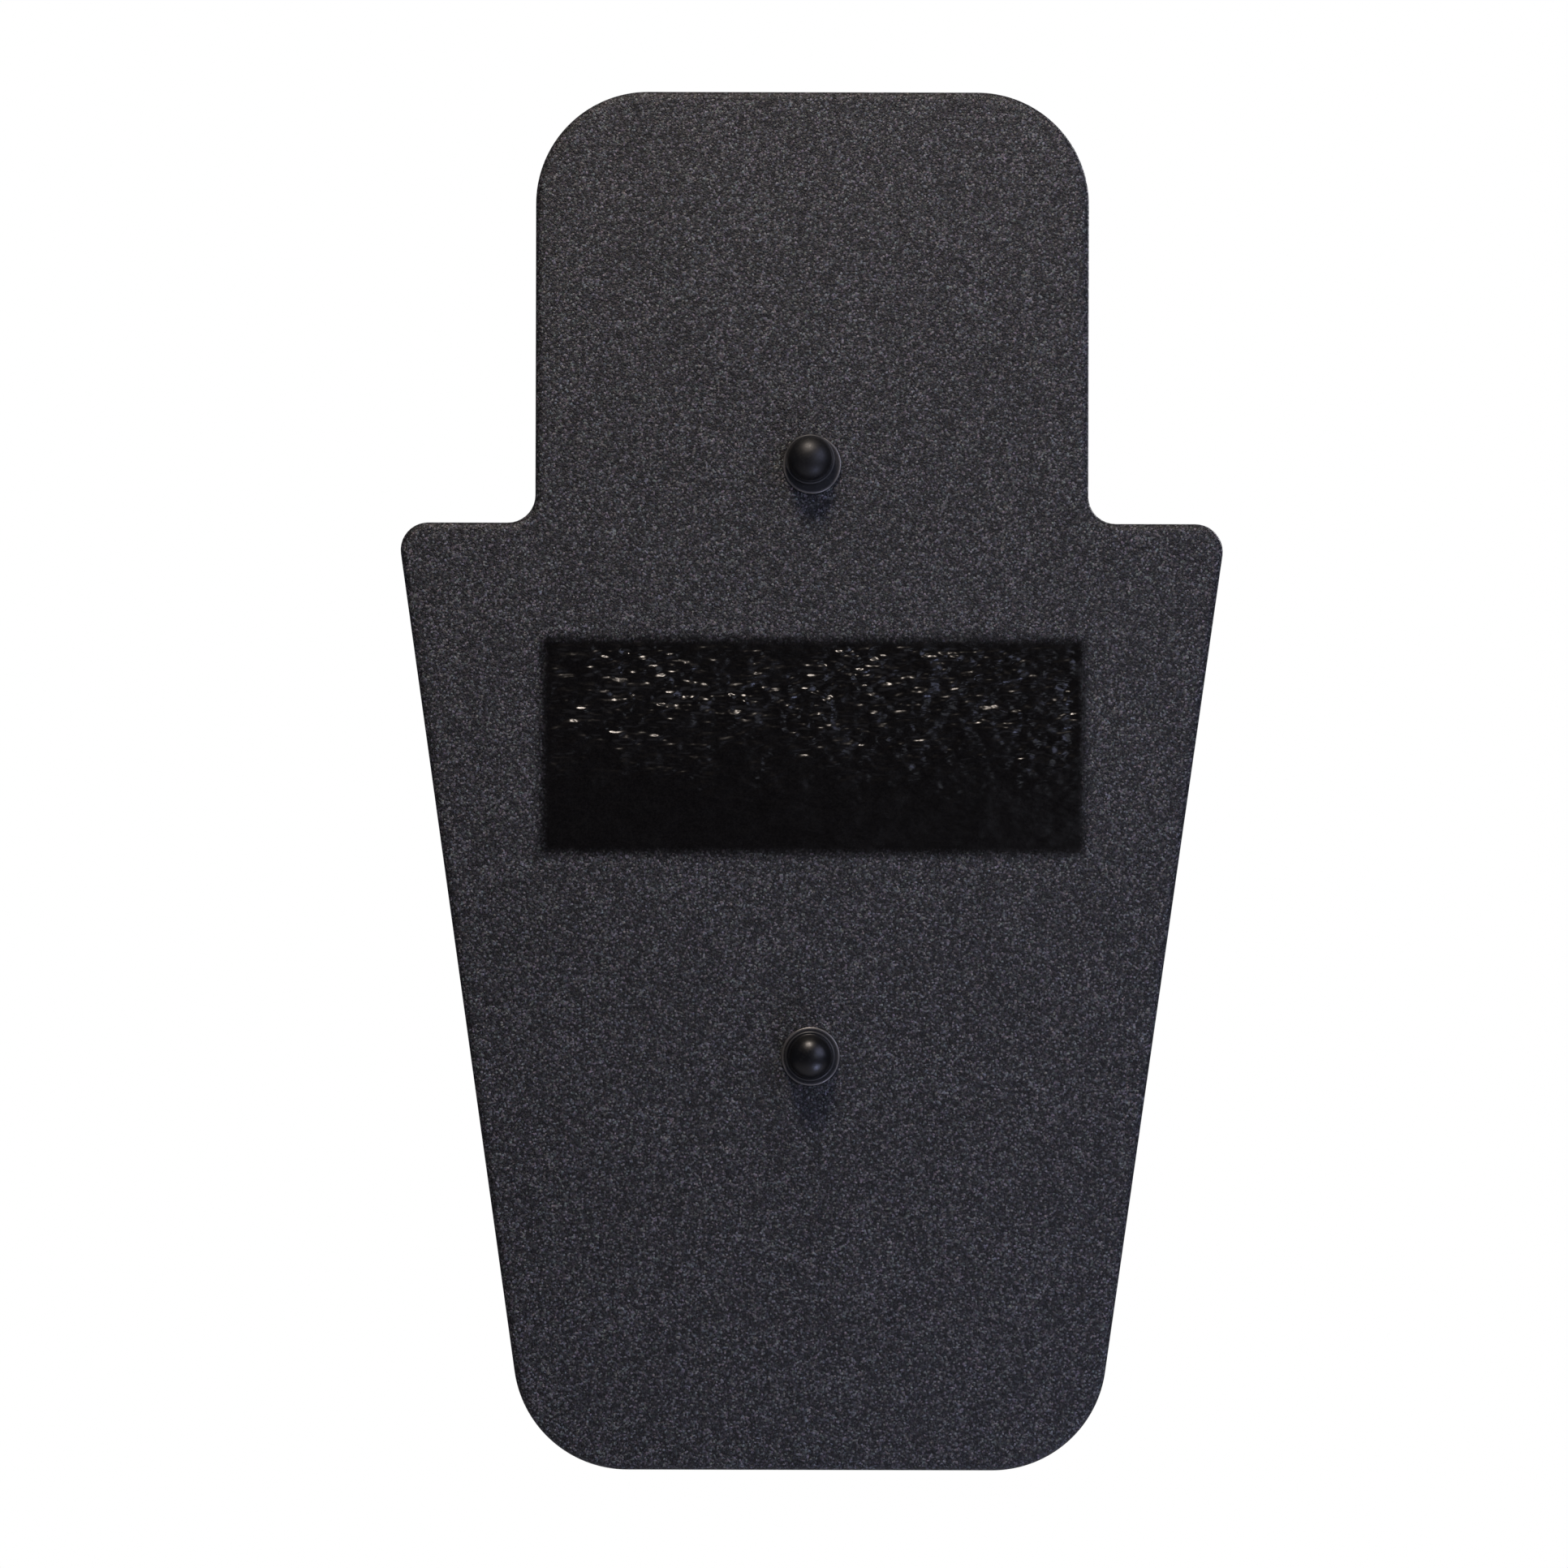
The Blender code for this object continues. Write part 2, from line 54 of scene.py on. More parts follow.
MM = 0.001
GAP = 0.3 * MM
ENDS = ("upper", "lower")

# The CAD model's own places
SKIN_LOW, SKIN_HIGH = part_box("textured_skin")
PANEL_LOW, PANEL_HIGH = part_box("chest_panel")
FRONT = -SKIN_LOW.y
SKIN_REAR = -SKIN_HIGH.y
BOTTOM_Z, TOP_Z = SKIN_LOW.z, SKIN_HIGH.z
PANEL_CENTRE_Z = (PANEL_LOW.z + PANEL_HIGH.z) / 2
PANEL_WIDTH = PANEL_HIGH.x - PANEL_LOW.x
PANEL_HEIGHT = PANEL_HIGH.z - PANEL_LOW.z

# The outline, which the boxes alone don't give
HEAD_WIDTH = 281 * MM
HEAD_HEIGHT = 219 * MM
SHOULDER_WIDTH = 422 * MM
BOTTOM_WIDTH = 286 * MM
HEAD_RADIUS = 57 * MM
NECK_RADIUS = 14 * MM
SHOULDER_RADIUS = 14 * MM
BOTTOM_RADIUS = 58 * MM
EDGE_ROUND = 4 * MM
PANEL_RADIUS = 3 * MM
PANEL_GAP = 0.02 * MM

SKIN_WALL = 3 * MM
LIP_WIDTH = 18 * MM
LIP_THICKNESS = 2 * MM
FOAM_INSET = SKIN_WALL + GAP

# Mesh steps
RING_STEP = 2.5 * MM
FACE_STEP = 3 * MM
PANEL_STEP = 1.15 * MM
TURN_STEPS = 96
SCREW_STEPS = 72
WELD = 0.002 * MM
TRIANGLE_TOLERANCE = 1e-8
EDGE_CLEARANCE = 0.62  # of a step, between a filled face's grid and its edges
SHARP_ANGLE = 35  # degrees
HEX_SHARP_ANGLE = 28

# Relief of the skin and the chest panel
PEEL_DEPTH = 0.07 * MM
PEEL_SIZE = 16 * MM
CRINKLE_DEPTH = 0.36 * MM
CRINKLE_LENGTH = 5 * MM
CRINKLE_HEIGHT = 2.4 * MM
CRINKLE_PATCH = 28 * MM
FEATHER = 9 * MM
BORDER_SHIFT = 0.9 * MM  # the darkened border reaches past the sheet on its right and at its foot

# The layers behind the skin
FOAM_EDGE = 1.2 * MM
REAR_SHEET_EDGE = 0.6 * MM
REAR_SHEET_STEP = 12 * MM

# Fixings
BARREL_RADIUS = 10 * MM
BORE_RADIUS = 7.6 * MM
GROMMET_EDGE = 0.6 * MM
TAIL_RADIUS = 11 * MM
TAIL_ROUND_R = 0.9 * MM
TAIL_ROUND_H = 1.4 * MM
TAIL_MIDDLE = 1.6 * MM  # off the wall
TAIL_START = 3.4 * MM
WASHER_BORE = 5.4 * MM
WASHER_EDGE = 0.35 * MM
HEX_ACROSS_FLATS = 16 * MM
HEX_CHAMFER_RADIUS = 7.6 * MM
SCREW_RADIUS = 5 * MM
THREAD_CORE = 3.7 * MM
THREAD_PITCH = 4.5 * MM
THREAD_LENGTH = 75 * MM
THREAD_STEP = 0.28 * MM
POINT_LENGTH = 9 * MM
HEAD_THICKNESS = 6.4 * MM
HEAD_DISH = 0.15 * MM
HEAD_EDGE = 0.3 * MM
SHANK_FILLET = 0.4 * MM
THREAD_RUN_IN = 2 * MM
CREST_HALF_WIDTH = 0.24  # of the pitch
CAP_RADIUS = 10.9 * MM
CAP_WALL = 1.05 * MM
CAP_DOME_START = 6.6 * MM
CAP_FLANGE = 1.6 * MM
CAP_FILLET = 0.4 * MM
CAP_RIM = 0.75 * MM
CAP_EDGE = 0.3 * MM
CAP_BEAD_START = 1.2 * MM
CAP_BEAD = 0.4 * MM
PLUG_RADIUS = 7 * MM
PLUG_BORE = 5.3 * MM
PLUG_TOOTH = 0.6 * MM
PLUG_EDGE = 0.3 * MM
PLUG_TEETH = 9
PLUG_COLLAR = 12 * MM
PLUG_POINT = 1.2 * MM
SLOT_START = 20 * MM  # behind the plug's near end
SLOT_OVERRUN = 5 * MM  # past its far end
SLOT_WIDTH = 1.6 * MM
SLOT_REACH = 28 * MM

# The camera
SENSOR = 36.0  # mm
CAMERA_DISTANCE = 2.0
FRAME_WIDTH = 0.7952  # at the pad's face
CAMERA_X = -0.0138
CAMERA_Z = -0.012
CAMERA_ROLL = 0.138  # degrees

# Looks. Colours are linear, and sizes are those of the grain.
NOISE_LOW, NOISE_HIGH = 0.3, 0.7  # most of a noise's values lie between these
SKIN_DARK = (0.003, 0.003, 0.003)
SKIN_LIGHT = (0.184, 0.184, 0.194)
SKIN_ROUGH_LOW = 0.34
SKIN_ROUGH_HIGH = 0.7
SKIN_SPECULAR = 0.3
PEBBLE_SIZE = 0.86 * MM
PEBBLE_DEPTH = 0.28 * MM
FLECK_SIZE = 1.15 * MM
FLECK_TINT = 0.25
PANEL_BLACK = (0.0018, 0.0014, 0.0009)
PANEL_GRAIN = (0.0048, 0.0042, 0.0036)
PANEL_ROUGH = 0.22
PANEL_SPECULAR = 0.27
RAGGED_SIZE = 3 * MM
WRINKLE_SIZE = 4.5 * MM
WRINKLE_DEPTH = 3.65 * MM
CAP_SPECULAR = 0.4
CAP_SCUFFED = (0.006, 0.006, 0.006)
CAP_CLEAN = (0.0014, 0.0014, 0.0015)
# painted highlight: the grey of the band round the caps' rolled flange rims
CAP_RIM_SHEEN = (0.03, 0.03, 0.031)
CAP_ROUGHNESS = {"upper": 0.47, "lower": 0.34}
STEEL_COATING = (0.009, 0.009, 0.01)
STEEL_WORN = (0.22, 0.21, 0.2)
RIM_WEAR = 0.9 * MM
CLOTH_PITCH = 1.6 * MM
PLY_PITCH = 2.4 * MM

# Lights and floor
COOL = (0.94, 1.0, 1.45)  # colour of the right fill and of the light from all round
AMBIENT = 0.06
PAD_MIDDLE = (0, -FRONT, 0)
LIGHTS = (  # name, place, target, size, watts and colour
    ("key", (-0.16, -1.05, 1.6), PAD_MIDDLE, 0.4, 27.0, (1.14, 1.0, 0.886)),
    ("right_fill", (1.5, -1.5, 0.65), PAD_MIDDLE, 1.5, 13.0, COOL),
    ("lower_right", (0.55, -0.75, -1.0), PAD_MIDDLE, 0.35, 2.5, (0.9, 1.0, 1.6)),
    ("by_camera", (0.74, -1.85, 0.0), PAD_MIDDLE, 0.5, 1.2, (0.95, 1.0, 1.12)),
    ("behind", (1.4, 1.8, 0.9), (0, 0, 0), 1.0, 24.0, (1.0, 1.0, 1.06)),
)
FLOOR_HALF_SIZE = 3.0
FLOOR_DROP = 1.0
FLOOR_GLOW = (0.5, 0.5, 0.49)


# ---- outlines ----

def inward_normals(corners):
    """The inward unit normal of the edge that leaves each corner, for an anticlockwise outline."""
    normals = []
    for (point, _), (after, _) in zip(corners, corners[1:] + corners[:1]):
        along = (after - point).normalized()
        normals.append(Vector((-along.y, along.x)))
    return normals


def inset(corners, distance):
    """The outline moved inwards: outer corners tighten and inner ones open."""
    normals = inward_normals(corners)
    moved = []
    for i, (point, radius) in enumerate(corners):
        before, after = normals[i - 1], normals[i]
        shift = (before + after) / (1 + before.dot(after))
        convex = before.cross(after) > 0
        tighter = radius - distance if convex else radius + distance
        moved.append((point + shift * distance, max(tighter, 1 * MM)))
    return moved


def corner_arc(corner, before, after, steps):
    point, radius = corner
    side = 1 if before.cross(after) > 0 else -1
    centre = point + side * radius * (before + after) / (1 + before.dot(after))
    turn = before.angle_signed(after)
    points = []
    for k in range(steps + 1):
        spoke = before.copy()
        spoke.rotate(Matrix.Rotation(-turn * k / steps, 2))
        points.append(centre - side * radius * spoke)
    return points


def outline_arcs(corners, steps):
    normals = inward_normals(corners)
    return [
        corner_arc(corner, normals[i - 1], normals[i], steps[i])
        for i, corner in enumerate(corners)
    ]


def ring_counts(corners, step):
    """How many steps each corner's arc and the straight after it take."""
    normals = inward_normals(corners)
    arcs = []
    for i, (_, radius) in enumerate(corners):
        turn = abs(normals[i - 1].angle_signed(normals[i]))
        arcs.append(max(6, math.ceil(turn * radius / step)))
    drawn = outline_arcs(corners, arcs)
    gaps = [(after[0] - arc[-1]).length for arc, after in zip(drawn, drawn[1:] + drawn[:1])]
    return arcs, [max(1, math.ceil(gap / step)) for gap in gaps]


def outline_points(corners, counts):
    """The outline's points. The counts don't change with the inset, so rings join one to one."""
    arcs = outline_arcs(corners, counts[0])
    points = []
    for arc, after, count in zip(arcs, arcs[1:] + arcs[:1], counts[1]):
        points += arc
        points += [arc[-1].lerp(after[0], k / count) for k in range(1, count)]
    return points


def pad_corners():
    """The pad's corners and their radii, anticlockwise from the bottom right."""
    shoulder_z = TOP_Z - HEAD_HEIGHT
    right = [
        (BOTTOM_WIDTH / 2, BOTTOM_Z, BOTTOM_RADIUS),
        (SHOULDER_WIDTH / 2, shoulder_z, SHOULDER_RADIUS),
        (HEAD_WIDTH / 2, shoulder_z, NECK_RADIUS),
        (HEAD_WIDTH / 2, TOP_Z, HEAD_RADIUS),
    ]
    left = [(-x, z, radius) for x, z, radius in reversed(right)]
    return [(Vector((x, z)), radius) for x, z, radius in right + left]


def panel_corners(margin=0.0):
    half_width = PANEL_WIDTH / 2 + margin
    half_height = PANEL_HEIGHT / 2 + margin
    signs = ((1, -1), (1, 1), (-1, 1), (-1, -1))
    return [
        (Vector((a * half_width, PANEL_CENTRE_Z + b * half_height)), PANEL_RADIUS + margin)
        for a, b in signs
    ]


def axis_of(node):
    """Where a fixing's axis stands in the pad's plane."""
    low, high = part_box(node)
    return Vector(((low.x + high.x) / 2, (low.z + high.z) / 2))


def hole_centre(end):
    return axis_of(f"{end}_grommet")


def extents(node):
    """The heights of a node's front and rear off the wall, and half its width."""
    low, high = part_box(node)
    return -low.y, -high.y, (high.x - low.x) / 2


def circle(centre, radius, steps=TURN_STEPS):
    turns = [2 * math.pi * k / steps for k in range(steps)]
    return [centre + radius * Vector((math.cos(a), math.sin(a))) for a in turns]


# ---- meshes ----

def inside(points, loops):
    """Which points lie inside the first loop and outside the others."""
    x, y = points[:, 0], points[:, 1]
    odd = np.zeros(len(points), bool)
    for loop in loops:
        for (x0, y0), (x1, y1) in zip(loop, loop[1:] + loop[:1]):
            if y0 != y1:
                spans = (y0 > y) != (y1 > y)
                odd ^= spans & (x < x0 + (y - y0) * (x1 - x0) / (y1 - y0))
    return odd


def hexagonal_grid(loop, step):
    low = np.min(loop, axis=0)
    high = np.max(loop, axis=0)
    row_step = step * math.sqrt(3) / 2
    rows = []
    for k, z in enumerate(np.arange(low[1], high[1], row_step)):
        x = np.arange(low[0] + step / 2 * (k % 2), high[0], step)
        rows.append(np.column_stack([x, np.full_like(x, z)]))
    return np.concatenate(rows)


def fill_points(loops, step):
    """Grid points inside the loops, clear of the loops' own points."""
    grid = hexagonal_grid(loops[0], step)
    grid = grid[inside(grid, loops)]
    edge = [point for loop in loops for point in loop]
    tree = kdtree.KDTree(len(edge))
    for i, point in enumerate(edge):
        tree.insert((*point, 0), i)
    tree.balance()
    return [Vector(p) for p in grid if tree.find((*p, 0))[2] > EDGE_CLEARANCE * step]


def flat(h):
    """A height that is the same everywhere."""
    return lambda x, z: h


class Shell:
    """A closed mesh put together from rings and flat caps, then welded."""

    def __init__(self):
        self.points = []
        self.faces = []

    def add(self, points, faces):
        start = len(self.points)
        self.points += points
        self.faces += [[start + i for i in face] for face in faces]

    def rings(self, rings):
        """Quads between each ring of 3-D points and the next."""
        size = len(rings[0])
        faces = []
        for row in range(len(rings) - 1):
            a, b = row * size, (row + 1) * size
            for k in range(size):
                j = (k + 1) % size
                faces.append((a + k, a + j, b + j, b + k))
        self.add([point for ring in rings for point in ring], faces)

    def cap(self, loops, height, step=None):
        """Triangles that fill the first loop and leave the others open."""
        points = [point for loop in loops for point in loop]
        edges = []
        for loop in loops:
            start = len(edges)
            edges += [(start + k, start + (k + 1) % len(loop)) for k in range(len(loop))]
        if step:
            points = points + fill_points(loops, step)
        verts, _, faces = delaunay_2d_cdt(points, edges, [], 0, TRIANGLE_TOLERANCE, False)[:3]
        flat_points = np.array(verts)
        middles = np.array([flat_points[face].mean(axis=0) for face in faces])
        kept = [face for face, keep in zip(faces, inside(middles, loops)) if keep]
        self.add([(x, -height(x, z), z) for x, z in verts], kept)

    def wall(self, loop, heights):
        """A wall along a loop, through the given height functions."""
        self.rings([[(x, -height(x, z), z) for x, z in loop] for height in heights])

    def build(self, name):
        mesh = bpy.data.meshes.new(name)
        mesh.from_pydata(self.points, [], self.faces)
        shape = bmesh.new()
        shape.from_mesh(mesh)
        bmesh.ops.remove_doubles(shape, verts=shape.verts, dist=WELD)
        loose = [vert for vert in shape.verts if not vert.link_faces]
        bmesh.ops.delete(shape, geom=loose, context="VERTS")
        bmesh.ops.recalc_face_normals(shape, faces=shape.faces)
        shape.to_mesh(mesh)
        shape.free()
        obj = bpy.data.objects.new(name, mesh)
        bpy.context.scene.collection.objects.link(obj)
        return obj


def finish_piece(obj, look, slot, body, *nodes, sharp=SHARP_ANGLE):
    """Shade and paint a piece that stands for CAD nodes, hang it on its body and hide those nodes.
    """
    obj.data.shade_smooth()
    obj.data.set_sharp_from_angle(angle=math.radians(sharp))
    obj.data.materials.append(look)
    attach(obj, body)
    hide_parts(*nodes)
    return obj


# ---- profiles ----

def arc(centre_r, centre_h, radius_r, radius_h, start, end, steps):
    """Points of a rounded stretch of a profile; angles are in degrees from the +r direction."""
    turns = [math.radians(start + (end - start) * k / steps) for k in range(steps + 1)]
    return [(centre_r + radius_r * math.cos(a), centre_h + radius_h * math.sin(a)) for a in turns]


def turned(profile, centre, closed=False):
    """A shell of a (radius, height) profile turned round a fixing's axis."""
    shell = Shell()
    rows = profile + profile[:1] if closed else profile
    shell.rings([[(x, -h, z) for x, z in circle(centre, r)] for r, h in rows])
    return shell


def stepped(start, end, steps):
    """Points evenly along a straight stretch of a profile, without its first one."""
    (a, b), (c, d) = start, end
    return [(a + (c - a) * k / steps, b + (d - b) * k / steps) for k in range(1, steps + 1)]


# ---- the skin and the chest panel ----

def smooth(value, low, high):
    t = min(max((value - low) / (high - low), 0.0), 1.0)
    return t * t * (3 - 2 * t)


def peel(x, z):
    """Gentle unevenness of the moulded face."""
    broad = noise.noise(Vector((x, z, 0)) / PEEL_SIZE)
    fine = noise.noise(Vector((x, z, 0.1)) / (0.4 * PEEL_SIZE))
    return PEEL_DEPTH * (broad + 0.5 * fine)


def skin_face(x, z):
    return FRONT + peel(x, z)


def panel_edge_distance(x, z):
    across = PANEL_WIDTH / 2 - abs(x)
    up = PANEL_HEIGHT / 2 - abs(z - PANEL_CENTRE_Z)
    return min(across, up)


def crinkle(x, z):
    """Small folds in the thin sheet, long sideways and strongest in its upper half."""
    place = Vector((x / CRINKLE_LENGTH, z / CRINKLE_HEIGHT, 3.7))
    bent = place + 0.35 * noise.noise_vector(place * 0.45)
    ridge = 1 - 2 * abs(noise.noise(bent))
    small = noise.noise(bent * 2.3)
    up = (z - PANEL_CENTRE_Z) / PANEL_HEIGHT + 0.5
    patch = 0.75 + 0.6 * noise.noise(Vector((x, z, 9.0)) / CRINKLE_PATCH)
    upper = 0.22 + 0.78 * smooth(up, 0.15, 0.75)
    strength = upper * (1 - 0.25 * smooth(x, 0, PANEL_WIDTH / 2))
    return CRINKLE_DEPTH * strength * patch * (0.6 * ridge + 0.4 * small)


def panel_face(x, z):
    inward = smooth(panel_edge_distance(x, z), 0.5 * MM, FEATHER)
    return skin_face(x, z) + inward * crinkle(x, z)


def skin_profile():
    """(inset, height) of the skin's rings, round its outside, under its lip and up its inside."""
    round_z = FRONT - EDGE_ROUND
    rear_z = SKIN_REAR + EDGE_ROUND
    inner = SKIN_REAR + LIP_THICKNESS
    points = arc(EDGE_ROUND, round_z, EDGE_ROUND, EDGE_ROUND, 90, 180, 9)
    points += stepped((0, round_z), (0, rear_z), 10)
    points += arc(EDGE_ROUND, rear_z, EDGE_ROUND, EDGE_ROUND, 180, 270, 7)[1:]
    points += stepped((EDGE_ROUND, SKIN_REAR), (LIP_WIDTH, SKIN_REAR), 4)
    points += [(LIP_WIDTH, inner), (SKIN_WALL, inner)]
    points.append((SKIN_WALL, FRONT - SKIN_WALL))
    return points


def outline_rings(profile, follow):
    """The pad's outline at each (inset, height). Near the face, rings may follow its relief."""
    corners = pad_corners()
    counts = ring_counts(corners, RING_STEP)
    rings = []
    for distance, h in profile:
        share = min(max((h - FRONT + EDGE_ROUND) / EDGE_ROUND, 0.0), 1.0) if follow else 0.0
        loop = outline_points(inset(corners, distance), counts)
        rings.append([(x, -h - share * peel(x, z), z) for x, z in loop])
    return rings


def loop_of(ring):
    return [Vector((x, z)) for x, _, z in ring]


def make_skin(look):
    shell = Shell()
    profile = skin_profile()
    rings = outline_rings(profile[:-1], follow=True)
    rings += outline_rings(profile[-1:], follow=False)
    shell.rings(rings)
    holes = [circle(hole_centre(end), BARREL_RADIUS + GAP) for end in ENDS]
    corners = panel_corners(PANEL_GAP)
    pocket = outline_points(corners, ring_counts(corners, PANEL_STEP))
    inner = FRONT - SKIN_WALL
    pocket_floor = -PANEL_HIGH.y - GAP
    shell.cap([loop_of(rings[0]), *holes, pocket], skin_face, FACE_STEP)
    shell.cap([loop_of(rings[-1]), *holes], flat(inner))
    shell.cap([pocket], flat(pocket_floor))
    shell.wall(pocket, [skin_face, flat(pocket_floor)])
    for hole in holes:
        shell.wall(hole, [skin_face, flat(inner)])
    skin = finish_piece(shell.build("moulded_skin"), look, "skin", "pad", "textured_skin")


def make_panel(look):
    shell = Shell()
    corners = panel_corners()
    edge = outline_points(corners, ring_counts(corners, PANEL_STEP))
    rear = flat(-PANEL_HIGH.y)
    shell.cap([edge], panel_face, PANEL_STEP)
    shell.cap([edge], rear)
    shell.wall(edge, [panel_face, rear])
    finish_piece(shell.build("chest_sheet"), look, "panel", "pad", "chest_panel")


# ---- the layers behind the skin ----

def make_slab(name, node, look, slot, distance, edge_round, hole_radius, step=None):
    """A layer of the pad's outline, with rounded edges and a hole at each fixing."""
    front, rear, _ = extents(node)
    inner = distance + edge_round
    profile = arc(inner, front - edge_round, edge_round, edge_round, 90, 180, 5)
    profile += stepped((distance, front - edge_round), (distance, rear + edge_round), 3)
    profile += arc(inner, rear + edge_round, edge_round, edge_round, 180, 270, 5)[1:]
    rings = outline_rings(profile, follow=False)
    holes = [circle(hole_centre(end), hole_radius) for end in ENDS]
    shell = Shell()
    shell.rings(rings)
    shell.cap([loop_of(rings[0]), *holes], flat(front), step)
    shell.cap([loop_of(rings[-1]), *holes], flat(rear), step)
    for hole in holes:
        shell.wall(hole, [flat(front), flat(rear)])
    return finish_piece(shell.build(name), look, slot, "pad", node)


def make_layers(looks):
    hole = BARREL_RADIUS + GAP
    for layer, slot in (("face", "soft_foam"), ("core", "firm_foam")):
        foam = make_slab(
            f"{layer}_foam_block", f"{layer}_foam", looks[slot], slot, FOAM_INSET, FOAM_EDGE, hole
        )
    make_slab(
        "rear_sheet", "rear_cover", looks["rear_rubber"], "rear_rubber",
        LIP_WIDTH + GAP, REAR_SHEET_EDGE, BARREL_RADIUS + 4 * GAP, REAR_SHEET_STEP,
    )


# ---- the fixings ----

def make_grommet(end, look):
    """A flanged barrel whose tail is rolled outwards behind the board."""
    node = f"{end}_grommet"
    face, _, outer = extents(node)
    edge, flange_rear = GROMMET_EDGE, FRONT + GAP
    profile = arc(outer - edge, face - edge, edge, edge, 90, 0, 10)
    profile += [(outer, flange_rear), (BARREL_RADIUS, flange_rear)]
    profile += stepped((BARREL_RADIUS, flange_rear), (BARREL_RADIUS, TAIL_START), 6)
    profile += arc(
        TAIL_RADIUS - TAIL_ROUND_R, TAIL_MIDDLE, TAIL_ROUND_R, TAIL_ROUND_H, 80, -90, 8
    )
    profile.append((BORE_RADIUS + 0.4 * MM, 0.2 * MM))
    profile += arc(BORE_RADIUS + edge, face - edge, edge, edge, 180, 90, 10)
    shell = turned(profile, hole_centre(end), closed=True)
    finish_piece(shell.build(f"{end}_eyelet"), look, "black_steel", "pad", node)


def make_screw_washer(end, look):
    node = f"{end}_screw_washer"
    front, rear, outer = extents(node)
    bore, edge = WASHER_BORE, WASHER_EDGE
    profile = arc(outer - edge, front - edge, edge, edge, 90, 0, 4)
    profile += arc(outer - edge, rear + edge, edge, edge, 0, -90, 4)
    profile += arc(bore + edge, rear + edge, edge, edge, 270, 180, 4)
    profile += arc(bore + edge, front - edge, edge, edge, 180, 90, 4)
    shell = turned(profile, axis_of(node), closed=True)
    finish_piece(shell.build(f"{end}_flat_washer"), look, "black_steel", "pad", node)


def hexagon_radius(angle):
    """Distance from the axis to a hexagon's side, with a corner straight up."""
    sixth = math.radians(60)
    off = (angle + sixth / 2) % sixth - sixth / 2
    return HEX_ACROSS_FLATS / 2 / math.cos(off)


def head_rings(centre, front):
    """The hexagonal head, from its middle, over the chamfer and down the flats."""
    turns = [2 * math.pi * k / SCREW_STEPS for k in range(SCREW_STEPS)]
    slope = math.tan(math.radians(30))
    rear = front - HEAD_THICKNESS

    def ring(radius_at, height_at):
        return [
            (centre.x + radius_at(a) * math.cos(a), -height_at(a),
             centre.y + radius_at(a) * math.sin(a))
            for a in turns
        ]

    def chamfer_height(a):
        return front - max(hexagon_radius(a) - HEX_CHAMFER_RADIUS, 0.0) * slope

    return [
        ring(lambda a: 0.0, lambda a: front - HEAD_DISH),
        ring(lambda a: 0.7 * HEX_CHAMFER_RADIUS, lambda a: front - HEAD_DISH),
        ring(lambda a: 0.92 * HEX_CHAMFER_RADIUS, lambda a: front),
        ring(lambda a: HEX_CHAMFER_RADIUS, lambda a: front),
        ring(hexagon_radius, chamfer_height),
        ring(hexagon_radius, lambda a: rear + HEAD_EDGE),
        ring(lambda a: hexagon_radius(a) - HEAD_EDGE, lambda a: rear),
    ]


def thread_rings(centre, start, tip):
    """A sharp crest that winds round a core and dies out at both ends of the thread."""
    rings = []
    for k in range(math.ceil((start - tip) / THREAD_STEP) + 1):
        h = max(start - k * THREAD_STEP, tip)
        reach = h - tip
        taper = min(reach / POINT_LENGTH, 1.0)
        fade = smooth(start - h, 0, THREAD_PITCH)
        run_in = smooth(start - h, 0, THREAD_RUN_IN)
        core = SCREW_RADIUS + (THREAD_CORE - SCREW_RADIUS) * run_in
        ring = []
        for j in range(SCREW_STEPS):
            turn = j / SCREW_STEPS
            phase = abs((reach / THREAD_PITCH - turn) % 1 - 0.5)
            crest = max(0.0, 1 - phase / CREST_HALF_WIDTH) * fade * smooth(taper, 0, 0.5)
            radius = core * taper + (SCREW_RADIUS - THREAD_CORE) * crest
            a = 2 * math.pi * turn
            ring.append((centre.x + radius * math.cos(a), -h, centre.y + radius * math.sin(a)))
        rings.append(ring)
    return rings


def make_screw(end, look):
    node = f"{end}_coach_screw"
    centre = axis_of(node)
    front, tip, _ = extents(node)
    rear = front - HEAD_THICKNESS
    rings = head_rings(centre, front)
    fillet = [(SCREW_RADIUS + SHANK_FILLET, rear), (SCREW_RADIUS, rear - SHANK_FILLET)]
    for radius, h in fillet:
        rings.append([(x, -h, z) for x, z in circle(centre, radius, SCREW_STEPS)])
    rings += thread_rings(centre, tip + THREAD_LENGTH, tip)
    shell = Shell()
    shell.rings(rings)
    screw = shell.build(f"{end}_hex_screw")
    finish_piece(screw, look, "zinc_steel", "pad", node, sharp=HEX_SHARP_ANGLE)


def make_cap(end, look):
    """A domed cap: a flange with a rolled rim, a fillet, and a bead inside that grips the head."""
    node = f"{end}_cap"
    top, base, outer = extents(node)
    radius, rim, edge = CAP_RADIUS, CAP_RIM, CAP_EDGE
    inner = radius - CAP_WALL
    dome_start = base + CAP_DOME_START
    flange = base + CAP_FLANGE
    foot = flange + CAP_FILLET
    profile = arc(0, dome_start, radius, top - dome_start, 90, 0, 28)
    profile += stepped((radius, dome_start), (radius, foot), 3)
    profile += arc(radius + CAP_FILLET, foot, CAP_FILLET, CAP_FILLET, 180, 270, 6)[1:]
    profile += arc(outer - rim, flange - rim, rim, rim, 90, 0, 8)
    profile += arc(outer - edge, base + edge, edge, edge, 0, -90, 4)
    profile += [(inner + edge, base), (inner, base + edge), (inner, base + CAP_BEAD_START)]
    profile += arc(inner, flange, edge, CAP_BEAD, -90, -270, 6)  # the bead, level with the flange
    profile += arc(0, dome_start, inner, top - CAP_WALL - dome_start, 0, 90, 20)
    shell = turned(profile, axis_of(node))
    finish_piece(shell.build(f"{end}_domed_cap"), look, "cap_plastic", f"{end}_cap", node)


